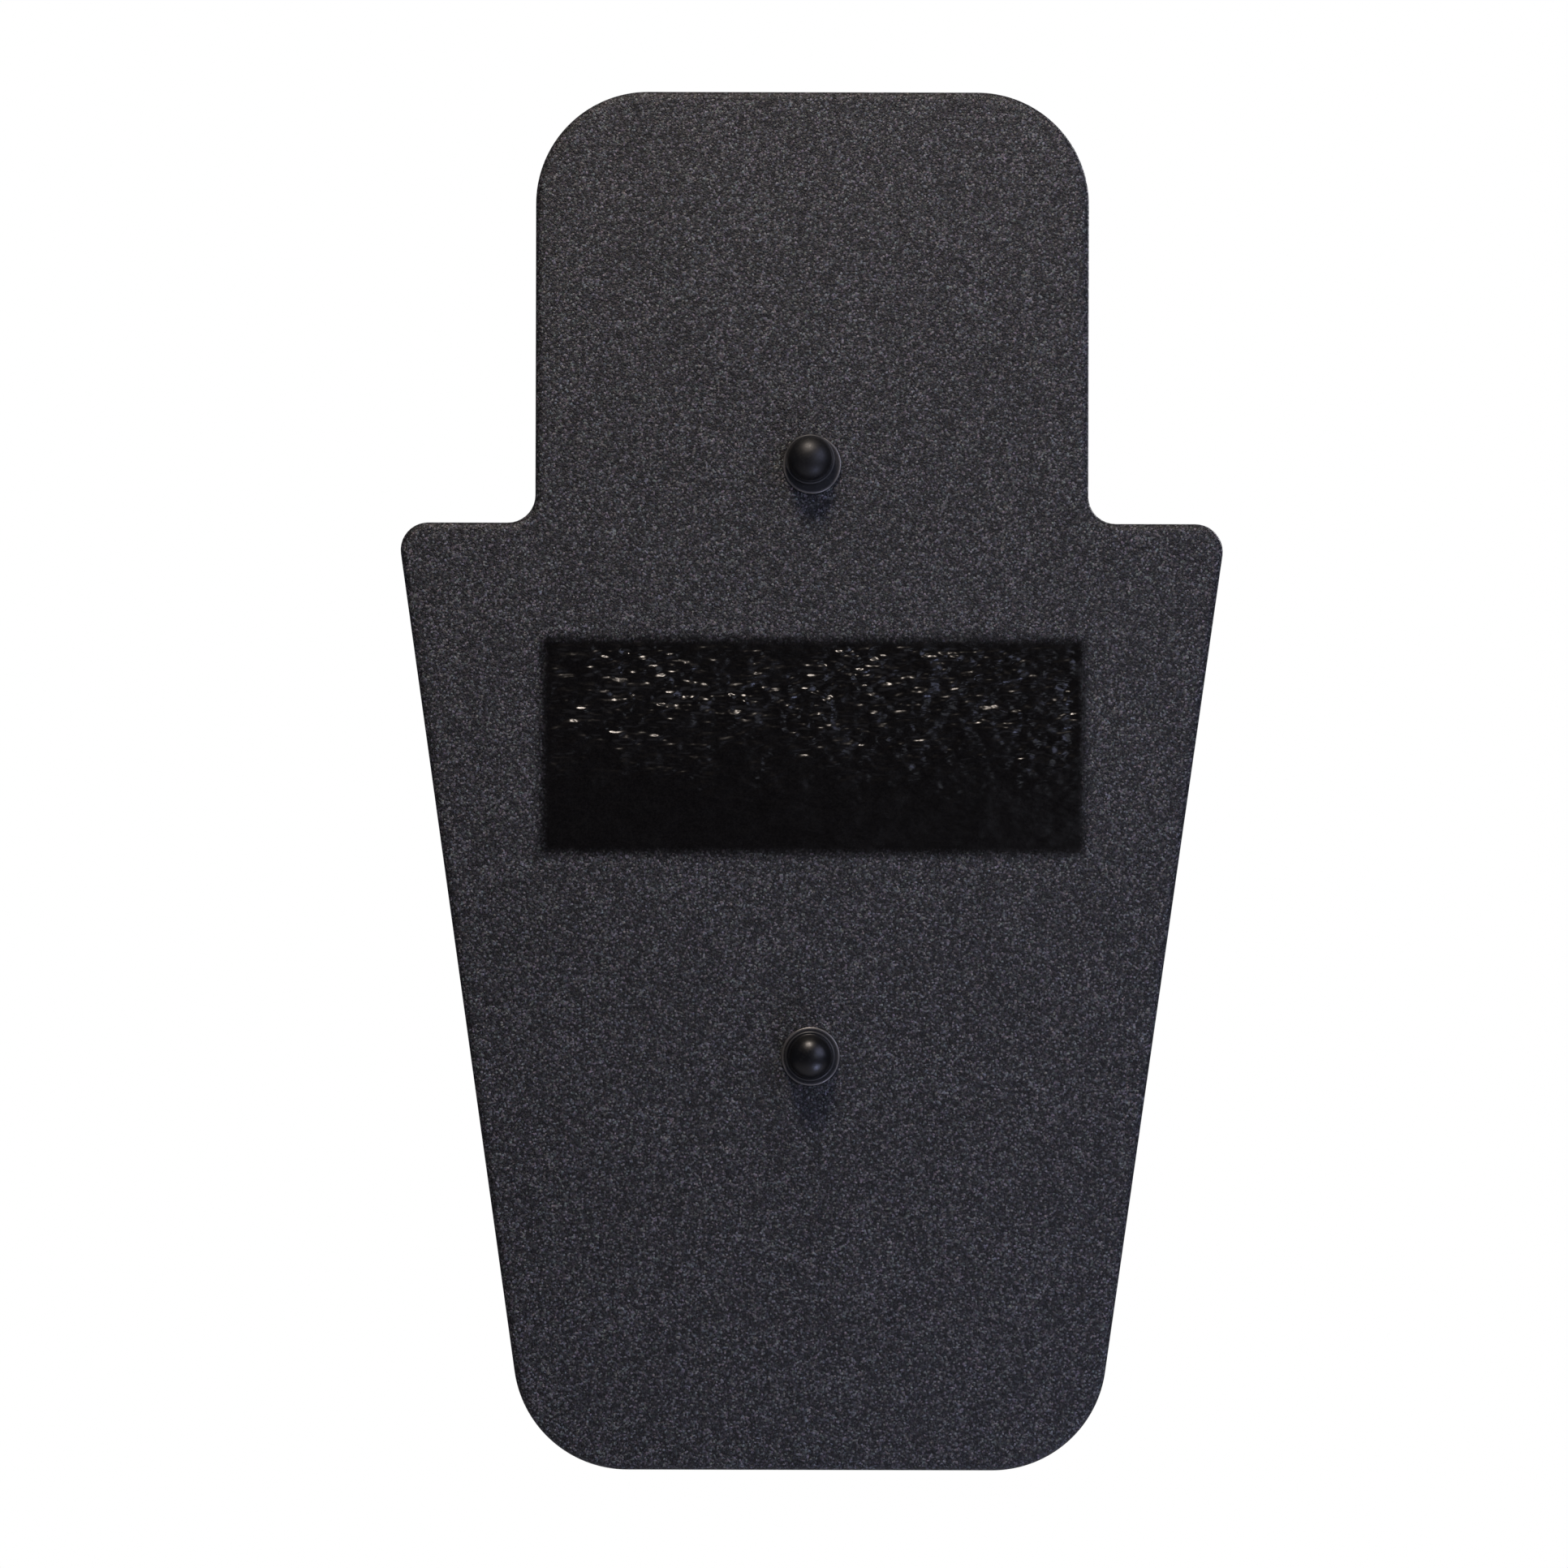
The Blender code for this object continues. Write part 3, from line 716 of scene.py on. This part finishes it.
def plug_profile(near, far):
    """The plug's outside, a row of saw-tooth rings behind a plain collar, and its bore."""
    outer, bore = PLUG_RADIUS, PLUG_BORE
    pitch = (near - far - PLUG_COLLAR) / PLUG_TEETH
    profile = [(outer - PLUG_EDGE, near), (outer, near - PLUG_EDGE), (outer, near - PLUG_COLLAR)]
    for k in range(PLUG_TEETH):
        start = near - PLUG_COLLAR - k * pitch
        profile += [(outer - PLUG_TOOTH, start - 0.12 * pitch), (outer, start - 0.85 * pitch)]
        profile.append((outer, start - 0.98 * pitch))
    profile += [(outer - PLUG_POINT, far), (bore, far)]
    profile += stepped((bore, far), (bore, near - 0.4 * MM), 4)
    return profile + [(bore + PLUG_EDGE, near)]


def slot_cutter(centre, near, far, turn):
    """A slab across the plug, behind its collar."""
    length = near - far - SLOT_START + SLOT_OVERRUN
    middle = far - SLOT_OVERRUN + length / 2
    mesh = bpy.data.meshes.new("slot")
    shape = bmesh.new()
    bmesh.ops.create_cube(shape, size=1.0)
    shape.to_mesh(mesh)
    shape.free()
    size = Matrix.Diagonal((SLOT_WIDTH, length, SLOT_REACH, 1))
    place = Matrix.Translation((centre.x, -middle, centre.y))
    mesh.transform(place @ Matrix.Rotation(turn, 4, "Y") @ size)
    cutter = bpy.data.objects.new("slot", mesh)
    bpy.context.scene.collection.objects.link(cutter)
    return cutter


def make_plug(end, look):
    node = f"{end}_wall_plug"
    centre = axis_of(node)
    near, far, _ = extents(node)
    plug = turned(plug_profile(near, far), centre, closed=True).build(f"{end}_plug")
    cutters = [slot_cutter(centre, near, far, math.radians(45 + 90 * k)) for k in range(2)]
    for cutter in cutters:
        cut = plug.modifiers.new("slot", "BOOLEAN")
        cut.operation, cut.object, cut.solver = "DIFFERENCE", cutter, "EXACT"
    graph = bpy.context.evaluated_depsgraph_get()
    done = bpy.data.meshes.new_from_object(plug.evaluated_get(graph))
    plug.modifiers.clear()
    plug.data = done
    for cutter in cutters:
        bpy.data.objects.remove(cutter, do_unlink=True)
    finish_piece(plug, look, "plug_nylon", "pad", node)


# ---- materials ----

class Look:
    """A material, with short calls for the nodes that are used here."""

    def __init__(self, name, colour, roughness, metallic=0.0, stretch=(1, 1, 1)):
        self.material = bpy.data.materials.new(name)
        self.material.use_nodes = True
        self.tree = self.material.node_tree
        self.shader = self.tree.nodes["Principled BSDF"]
        self.shader.inputs["Base Color"].default_value = (*colour, 1)
        self.shader.inputs["Roughness"].default_value = roughness
        self.shader.inputs["Metallic"].default_value = metallic
        self.place = self.add("ShaderNodeTexCoord").outputs["Object"]
        if stretch != (1, 1, 1):
            mapping = self.add("ShaderNodeMapping", {"Vector": self.place, "Scale": stretch})
            self.place = mapping.outputs["Vector"]

    def add(self, kind, inputs=None, **settings):
        node = self.tree.nodes.new(kind)
        for key, value in settings.items():
            setattr(node, key, value)
        for key, value in (inputs or {}).items():
            if isinstance(value, bpy.types.NodeSocket):
                self.tree.links.new(value, node.inputs[key])
            else:
                node.inputs[key].default_value = value
        return node

    def axes(self):
        """The X, Y and Z of the point being shaded."""
        return self.add("ShaderNodeSeparateXYZ", {"Vector": self.place}).outputs

    def noise(self, size, detail=2.0, rough=0.5, place=None):
        """Noise from 0 to 1, whose features are about the given size."""
        inputs = {"Vector": place or self.place, "Scale": 1 / size}
        inputs.update({"Detail": detail, "Roughness": rough})
        return self.add("ShaderNodeTexNoise", inputs).outputs["Fac"]

    def cells(self, size):
        """Distance from the middle of the nearest cell of about the given size."""
        inputs = {"Vector": self.place, "Scale": 1 / size}
        return self.add("ShaderNodeTexVoronoi", inputs).outputs["Distance"]

    def flecks(self, size):
        """A random colour for each cell of about the given size."""
        inputs = {"Vector": self.place, "Scale": 1 / size}
        return self.add("ShaderNodeTexVoronoi", inputs).outputs["Color"]

    def math(self, operation, a, b=0.0):
        return self.add("ShaderNodeMath", {0: a, 1: b}, operation=operation).outputs["Value"]

    def remap(self, value, low, high, to_low, to_high, kind="LINEAR"):
        inputs = {"Value": value, "From Min": low, "From Max": high}
        inputs.update({"To Min": to_low, "To Max": to_high})
        return self.add("ShaderNodeMapRange", inputs, interpolation_type=kind).outputs["Result"]

    def spread(self, value, to_low, to_high):
        """A noise's usual values, stretched to the given range."""
        return self.remap(value, NOISE_LOW, NOISE_HIGH, to_low, to_high)

    def mix(self, factor, a, b, blend="MIX"):
        """Two colours blended; a plain one is three numbers."""
        inputs = {"Factor": factor}
        node = self.add("ShaderNodeMix", inputs, data_type="RGBA", blend_type=blend)
        for index, value in ((6, a), (7, b)):
            if isinstance(value, bpy.types.NodeSocket):
                self.tree.links.new(value, node.inputs[index])
            else:
                node.inputs[index].default_value = (*value, 1)
        return node.outputs[2]

    def bump(self, height, depth, after=None):
        inputs = {"Height": height, "Strength": 1.0, "Distance": depth}
        if after:
            inputs["Normal"] = after
        return self.add("ShaderNodeBump", inputs).outputs["Normal"]

    def use(self, **values):
        names = {"colour": "Base Color", "roughness": "Roughness", "normal": "Normal"}
        for key, value in values.items():
            self.tree.links.new(value, self.shader.inputs[names[key]])
        return self.material


def pebbles(look):
    """Colour, roughness and height of the moulded grain: pebbles about a millimetre wide."""
    channels = look.add("ShaderNodeSeparateColor", {"Color": look.flecks(PEBBLE_SIZE)}).outputs
    bright = look.math("POWER", look.math("MULTIPLY", channels["Red"], channels["Green"]), 1.5)
    patches = look.spread(look.noise(30 * MM, 3.0, 0.55), 0.88, 1.12)
    grey = look.mix(look.math("MULTIPLY", bright, patches), SKIN_DARK, SKIN_LIGHT)
    colour = look.mix(FLECK_TINT, grey, look.flecks(FLECK_SIZE), blend="MULTIPLY")
    rubble = look.noise(FLECK_SIZE, 3.0, 0.6)
    height = look.math("SUBTRACT", rubble, look.cells(PEBBLE_SIZE))
    roughness = look.remap(channels["Blue"], 0.0, 1.0, SKIN_ROUGH_LOW, SKIN_ROUGH_HIGH)
    return colour, roughness, height


def sheet_distance(look):
    """How far inside the chest sheet's edge a point lies; negative on the skin."""
    axes = look.axes()
    off_x = look.math("ABSOLUTE", look.math("SUBTRACT", axes["X"], BORDER_SHIFT))
    off_z = look.math("ABSOLUTE", look.math("ADD", axes["Z"], BORDER_SHIFT - PANEL_CENTRE_Z))
    across = look.math("SUBTRACT", PANEL_WIDTH / 2 + BORDER_SHIFT, off_x)
    up = look.math("SUBTRACT", PANEL_HEIGHT / 2 + BORDER_SHIFT, off_z)
    return look.math("MINIMUM", across, up)


def sheet_mask(look, distance):
    """1 on the chest sheet and 0 on the skin, with a soft ragged border along the sheet's edge."""
    torn = look.math("SUBTRACT", look.noise(RAGGED_SIZE, 3.0, 0.6), 0.5)
    ragged = look.math("MULTIPLY", torn, RAGGED_SIZE)
    reach = look.math("ADD", distance, ragged)
    return look.remap(reach, -FEATHER / 2, FEATHER / 2, 0.0, 1.0, "SMOOTHSTEP")


def wrinkles(look, distance):
    """Height of the sheet's fine folds: long sideways, strongest high up, none at its edge."""
    mapping = look.add("ShaderNodeMapping", {"Vector": look.place, "Scale": (0.5, 1, 1)})
    fold = look.noise(WRINKLE_SIZE, 1.3, place=mapping.outputs["Vector"])
    axes = look.axes()
    low, high = PANEL_CENTRE_Z - 0.4 * PANEL_HEIGHT, PANEL_CENTRE_Z + 0.22 * PANEL_HEIGHT
    strength = look.remap(axes["Z"], low, high, 0.12, 1.0, "SMOOTHSTEP")
    inward = look.remap(distance, 0.0, FEATHER, 0.0, 1.0, "SMOOTHSTEP")
    patch = look.remap(look.noise(22 * MM, 2.0), 0.35, 0.65, 0.55, 1.15)
    share = look.math("MULTIPLY", inward, look.math("MULTIPLY", strength, patch))
    return look.math("MULTIPLY", look.math("SUBTRACT", fold, 0.5), share)


def face_look(name, specular, sheet_wrinkles):
    """The pebbled skin, turning into the gloss black sheet inside the sheet's border."""
    look = Look(name, SKIN_DARK, 0.5)
    look.shader.inputs["Specular IOR Level"].default_value = specular
    colour, roughness, height = pebbles(look)
    distance = sheet_distance(look)
    sheet = sheet_mask(look, distance)
    bare = look.math("SUBTRACT", 1.0, sheet)
    grain = look.remap(look.noise(0.9 * MM, 2.0), 0.35, 0.7, 0.0, 1.0)
    black = look.mix(grain, PANEL_BLACK, PANEL_GRAIN)
    haze = look.spread(look.noise(9 * MM, 3.0, 0.6), PANEL_ROUGH - 0.05, PANEL_ROUGH + 0.08)
    sheet_rough = look.math("MULTIPLY", sheet, haze)
    rough = look.math("ADD", sheet_rough, look.math("MULTIPLY", bare, roughness))
    normal = look.bump(look.math("MULTIPLY", height, bare), PEBBLE_DEPTH)
    if sheet_wrinkles:
        normal = look.bump(wrinkles(look, distance), WRINKLE_DEPTH, after=normal)
    return look.use(colour=look.mix(sheet, colour, black), roughness=rough, normal=normal)


def axis_distance(look, centre):
    """How far a point lies from a fixing's axis."""
    axes = look.axes()
    x = look.math("SUBTRACT", axes["X"], centre.x)
    z = look.math("SUBTRACT", axes["Z"], centre.y)
    squares = look.math("ADD", look.math("MULTIPLY", x, x), look.math("MULTIPLY", z, z))
    return look.math("SQRT", squares)


def cap_look(name, roughness, centre, rim_radius):
    """Moulded polyethylene with light scuffs. A lighter grey band on the flange's rolled rim is a
    painted highlight, for the light that the rim catches.
    """
    look = Look(name, (0.006, 0.006, 0.0065), roughness)
    look.shader.inputs["Specular IOR Level"].default_value = CAP_SPECULAR
    scuff = look.noise(1.1 * MM, 4.0, 0.65)
    rough = look.remap(scuff, 0.35, 0.7, roughness - 0.04, roughness + 0.08)
    colour = look.mix(look.remap(scuff, 0.55, 0.75, 0, 1), CAP_CLEAN, CAP_SCUFFED)
    frayed = look.math("ADD", axis_distance(look, centre), look.math("MULTIPLY", scuff, 0.3 * MM))
    # Painted highlight: a band on the flange's rolled rim is painted lighter grey, standing in for
    # the light it catches.
    start, end = rim_radius - CAP_RIM, rim_radius - 0.15 * MM
    painted_rim_sheen = look.remap(frayed, start, end, 0.0, 1.0, "SMOOTHSTEP")
    colour = look.mix(painted_rim_sheen, colour, CAP_RIM_SHEEN)
    wavy = look.bump(look.noise(3.5 * MM, 2.0), 0.05 * MM)
    return look.use(colour=colour, roughness=rough, normal=wavy)


def black_steel_look(name, centre=None, rim_radius=0.0):
    """Gloss black coating, worn in specks. A grommet's is worn to bright metal round its rim."""
    look = Look(name, (0.01, 0.01, 0.011), 0.25)
    wear = look.noise(0.9 * MM, 4.0, 0.7)
    worn = look.remap(wear, 0.62, 0.72, 0.0, 0.6)
    if centre:
        fray = look.math("MULTIPLY", wear, 0.7 * MM)
        frayed = look.math("ADD", axis_distance(look, centre), fray)
        rim = look.remap(frayed, rim_radius - RIM_WEAR, rim_radius, 0.0, 0.85)
        worn = look.math("MAXIMUM", worn, rim)
    colour = look.mix(worn, STEEL_COATING, STEEL_WORN)
    rough = look.spread(look.noise(2 * MM, 3.0), 0.3, 0.46)
    look.tree.links.new(worn, look.shader.inputs["Metallic"])
    normal = look.bump(look.noise(0.7 * MM, 2.0), 0.012 * MM)
    return look.use(colour=colour, roughness=rough, normal=normal)


def zinc_look():
    look = Look("bright_zinc", (0.58, 0.58, 0.6), 0.3, 1.0)
    cloud = look.noise(2.2 * MM, 4.0, 0.6)
    colour = look.mix(look.spread(cloud, 0, 1), (0.42, 0.43, 0.46), (0.66, 0.65, 0.62))
    rough = look.spread(look.noise(1.2 * MM, 3.0), 0.22, 0.42)
    return look.use(colour=colour, roughness=rough, normal=look.bump(cloud, 0.02 * MM))


def staple_look():
    look = Look("galvanised_wire", (0.55, 0.54, 0.5), 0.35, 1.0)
    spot = look.noise(0.8 * MM, 3.0)
    colour = look.mix(look.remap(spot, 0.35, 0.65, 0, 1), (0.4, 0.39, 0.36), (0.6, 0.59, 0.56))
    return look.use(colour=colour, roughness=look.spread(spot, 0.28, 0.48))


def nylon_look():
    look = Look("grey_nylon", (0.36, 0.37, 0.39), 0.5)
    cloud = look.noise(4 * MM, 3.0)
    colour = look.mix(look.spread(cloud, 0, 1), (0.32, 0.33, 0.35), (0.41, 0.42, 0.44))
    normal = look.bump(look.noise(0.5 * MM, 2.0), 0.02 * MM)
    return look.use(colour=colour, roughness=look.spread(cloud, 0.42, 0.6), normal=normal)


def rubber_look():
    """Black sheet rubber with a fine cloth impression and a little dust."""
    look = Look("rear_rubber_sheet", (0.02, 0.02, 0.02), 0.75)
    axes = look.axes()
    pitch = 2 * math.pi / CLOTH_PITCH
    warp = look.math("SINE", look.math("MULTIPLY", axes["X"], pitch))
    weft = look.math("SINE", look.math("MULTIPLY", axes["Z"], pitch))
    cloth = look.math("MULTIPLY", warp, weft)
    dust = look.remap(look.noise(45 * MM, 5.0, 0.65), 0.42, 0.75, 0.0, 0.5)
    colour = look.mix(dust, (0.017, 0.017, 0.018), (0.055, 0.053, 0.05))
    rough = look.remap(dust, 0, 0.5, 0.66, 0.85)
    return look.use(colour=colour, roughness=rough, normal=look.bump(cloth, 0.06 * MM))


def foam_look(name, dark, light, cell):
    """Open or closed cells of about the given size. The cells' pits are painted darker, as painted
    shade, over a blotchy tone.
    """
    look = Look(name, light, 0.92)
    pores = look.cells(cell)
    blotch = look.noise(20 * MM, 3.0)
    # Painted shade: the pits that the bump sinks into the cells get the darker colour; the blotch
    # is the foam's own tone.
    tone = look.math("ADD", look.math("MULTIPLY", pores, 0.7), look.math("MULTIPLY", blotch, 0.4))
    colour = look.mix(look.remap(tone, 0.2, 0.85, 0, 1), dark, light)
    rough = look.spread(blotch, 0.86, 0.97)
    return look.use(colour=colour, roughness=rough, normal=look.bump(pores, 0.4 * cell))


def plywood_look():
    """Birch plywood: grain up the faces, and light and dark plies at the edge."""
    look = Look("birch_plywood", (0.55, 0.37, 0.2), 0.6, stretch=(1, 1, 0.07))
    grain = look.noise(3.5 * MM, 5.0, 0.62)
    figure = look.noise(30 * MM, 3.0, 0.6)
    axes = look.axes()
    plies = look.math("SINE", look.math("MULTIPLY", axes["Y"], 2 * math.pi / PLY_PITCH))
    layered = look.remap(plies, -0.3, 0.3, 0.0, 0.35)
    tone = look.math("ADD", look.math("MULTIPLY", grain, 0.6), look.math("MULTIPLY", figure, 0.4))
    wood = look.mix(look.spread(tone, 0, 1), (0.4, 0.25, 0.12), (0.66, 0.48, 0.29))
    colour = look.mix(layered, wood, (0.3, 0.18, 0.09))
    rough = look.spread(grain, 0.5, 0.72)
    return look.use(colour=colour, roughness=rough, normal=look.bump(grain, 0.12 * MM))


def paint_node(node, look):
    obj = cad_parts[node]
    obj.data.materials.clear()
    obj.data.materials.append(look)


# ---- camera, light and floor ----

def add_camera():
    camera = bpy.data.cameras.new("camera")
    camera.sensor_width = SENSOR
    camera.lens = SENSOR * CAMERA_DISTANCE / FRAME_WIDTH
    obj = bpy.data.objects.new("camera", camera)
    level = Matrix.Translation((CAMERA_X, -FRONT - CAMERA_DISTANCE, CAMERA_Z))
    turn = Matrix.Rotation(math.radians(90), 4, "X")
    roll = Matrix.Rotation(math.radians(CAMERA_ROLL), 4, "Z")
    obj.matrix_world = level @ turn @ roll
    bpy.context.scene.collection.objects.link(obj)
    bpy.context.scene.camera = obj


def add_light(name, place, target, size, watts, colour):
    light = bpy.data.lights.new(name, "AREA")
    light.shape = "DISK"
    light.size = size
    light.energy = watts
    light.color = colour
    obj = bpy.data.objects.new(name, light)
    aim = (Vector(target) - Vector(place)).to_track_quat("-Z", "Y")
    obj.matrix_world = Matrix.Translation(place) @ aim.to_matrix().to_4x4()
    bpy.context.scene.collection.objects.link(obj)


def add_world():
    """White behind the object, and a dimmer cool light from all round."""
    world = bpy.data.worlds.new("studio")
    world.use_nodes = True
    tree = world.node_tree
    tree.nodes.clear()
    ambient = tree.nodes.new("ShaderNodeBackground")
    ambient.inputs["Color"].default_value = (*COOL, 1)
    ambient.inputs["Strength"].default_value = AMBIENT
    white = tree.nodes.new("ShaderNodeBackground")
    white.inputs["Color"].default_value = (1, 1, 1, 1)
    chooser = tree.nodes.new("ShaderNodeMixShader")
    rays = tree.nodes.new("ShaderNodeLightPath")
    out = tree.nodes.new("ShaderNodeOutputWorld")
    tree.links.new(rays.outputs["Is Camera Ray"], chooser.inputs[0])
    tree.links.new(ambient.outputs[0], chooser.inputs[1])
    tree.links.new(white.outputs[0], chooser.inputs[2])
    tree.links.new(chooser.outputs[0], out.inputs["Surface"])
    bpy.context.scene.world = world


def add_floor():
    """A pale floor. Only the camera sees its glow, so it doesn't light the pad from below."""
    mesh = bpy.data.meshes.new("floor")
    half, z = FLOOR_HALF_SIZE, BOTTOM_Z - FLOOR_DROP
    corners = [(-half, -half, z), (half, -half, z), (half, half, z), (-half, half, z)]
    mesh.from_pydata(corners, [], [(0, 1, 2, 3)])
    floor = bpy.data.objects.new("floor", mesh)
    bpy.context.scene.collection.objects.link(floor)
    look = Look("pale_floor", (0.8, 0.8, 0.8), 0.9)
    cloud = look.noise(0.6, 3.0)
    colour = look.mix(cloud, (0.8, 0.8, 0.8), (0.84, 0.84, 0.84))
    look.shader.inputs["Emission Color"].default_value = (*FLOOR_GLOW, 1)
    seen = look.add("ShaderNodeLightPath").outputs["Is Camera Ray"]
    look.tree.links.new(seen, look.shader.inputs["Emission Strength"])
    floor.data.materials.append(look.use(colour=colour))


def main():
    bpy.context.scene.view_settings.view_transform = "Standard"
    add_camera()
    make_skin(face_look("charcoal_pebbled_skin", SKIN_SPECULAR, False))
    make_panel(face_look("gloss_black_sheet", PANEL_SPECULAR, True))
    make_layers({
        "soft_foam": foam_look("cream_foam", (0.5, 0.42, 0.24), (0.78, 0.7, 0.48), 1.4 * MM),
        "firm_foam": foam_look("grey_foam", (0.09, 0.095, 0.105), (0.2, 0.21, 0.23), 0.9 * MM),
        "rear_rubber": rubber_look(),
    })
    black, zinc = black_steel_look("black_coated_steel"), zinc_look()
    nylon, wire = nylon_look(), staple_look()
    for end in ENDS:
        rim = extents(f"{end}_grommet")[2]
        make_grommet(end, black_steel_look(f"{end}_worn_rim_steel", hole_centre(end), rim))
        make_screw_washer(end, black)
        make_screw(end, zinc)
        cap = f"{end}_cap"
        rim = extents(cap)[2]
        make_cap(end, cap_look(f"{cap}_plastic", CAP_ROUGHNESS[end], axis_of(cap), rim))
        make_plug(end, nylon)
        paint_node(f"{end}_grommet_washer", zinc)
    paint_node("backing_board", plywood_look())
    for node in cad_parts:
        if node.startswith("staple_"):
            paint_node(node, wire)
    add_world()
    for light in LIGHTS:
        add_light(*light)
    add_floor()


main()
